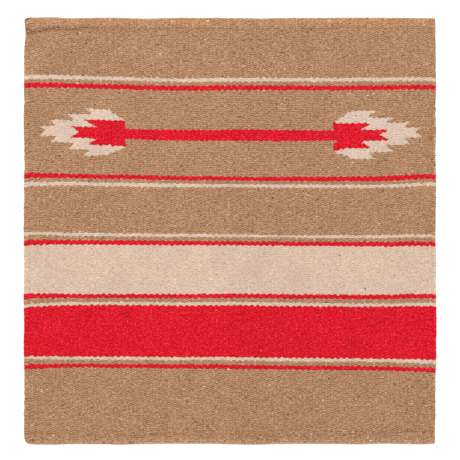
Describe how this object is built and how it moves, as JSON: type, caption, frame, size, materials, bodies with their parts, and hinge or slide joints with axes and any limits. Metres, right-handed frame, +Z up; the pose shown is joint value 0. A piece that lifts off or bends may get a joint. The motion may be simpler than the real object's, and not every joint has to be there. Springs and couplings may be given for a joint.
{
  "type": "saddle blanket",
  "caption": "Flat, nearly square wool saddle blanket, woven weft-faced in stripes with a double-ended arrow, whose two halves fold down over the horse's spine.",
  "frame": {"origin": "middle of the underside, on the plane that the flat blanket lies on", "axes": "+X along the weft, +Y along the warps and the horse's spine, +Z up out of the face shown in the picture"},
  "size_m": [0.8128, 0.8398, 0.006],
  "materials": {
    "tan_weft": "heathered tan wool weft, matte",
    "cream_weft": "undyed cream wool weft, matte",
    "red_weft": "bright red dyed wool weft, matte",
    "warp_yarn": "hard-spun natural wool warp, hidden in the cloth"
  },
  "bodies": {
    "left_half": {"warp_left": "warp_yarn", "edge_warp_left": "warp_yarn", "top_end_band_left": "tan_weft", "top_field_left": "tan_weft", "cream_line_1_left": "cream_weft", "tan_line_1_left": "tan_weft", "red_line_1_left": "red_weft", "arrow_panel_left": "tan_weft", "arrow_shaft_left": "red_weft", "arrow_head_left": "red_weft", "arrow_feathers_left": "cream_weft", "red_line_2_left": "red_weft", "tan_line_2_left": "tan_weft", "cream_line_2_left": "cream_weft", "middle_field_left": "tan_weft", "cream_line_3_left": "cream_weft", "tan_line_3_left": "tan_weft", "red_line_3_left": "red_weft", "cream_band_left": "cream_weft", "red_line_4_left": "red_weft", "tan_line_4_left": "tan_weft", "cream_line_4_left": "cream_weft", "red_band_left": "red_weft", "cream_line_5_left": "cream_weft", "tan_line_5_left": "tan_weft", "red_line_5_left": "red_weft", "bottom_field_left": "tan_weft", "bottom_end_band_left": "tan_weft"},
    "right_half": {"warp_right": "warp_yarn", "edge_warp_right": "warp_yarn", "top_end_band_right": "tan_weft", "top_field_right": "tan_weft", "cream_line_1_right": "cream_weft", "tan_line_1_right": "tan_weft", "red_line_1_right": "red_weft", "arrow_panel_right": "tan_weft", "arrow_shaft_right": "red_weft", "arrow_head_right": "red_weft", "arrow_feathers_right": "cream_weft", "red_line_2_right": "red_weft", "tan_line_2_right": "tan_weft", "cream_line_2_right": "cream_weft", "middle_field_right": "tan_weft", "cream_line_3_right": "cream_weft", "tan_line_3_right": "tan_weft", "red_line_3_right": "red_weft", "cream_band_right": "cream_weft", "red_line_4_right": "red_weft", "tan_line_4_right": "tan_weft", "cream_line_4_right": "cream_weft", "red_band_right": "red_weft", "cream_line_5_right": "cream_weft", "tan_line_5_right": "tan_weft", "red_line_5_right": "red_weft", "bottom_field_right": "tan_weft", "bottom_end_band_right": "tan_weft"}
  },
  "joints": [
    {"name": "spine_fold", "type": "hinge", "parent": "left_half", "child": "right_half", "pos_m": [0, 0, -0.0005], "axis": [0, 1, 0], "range_deg": [0, 180]}
  ]
}
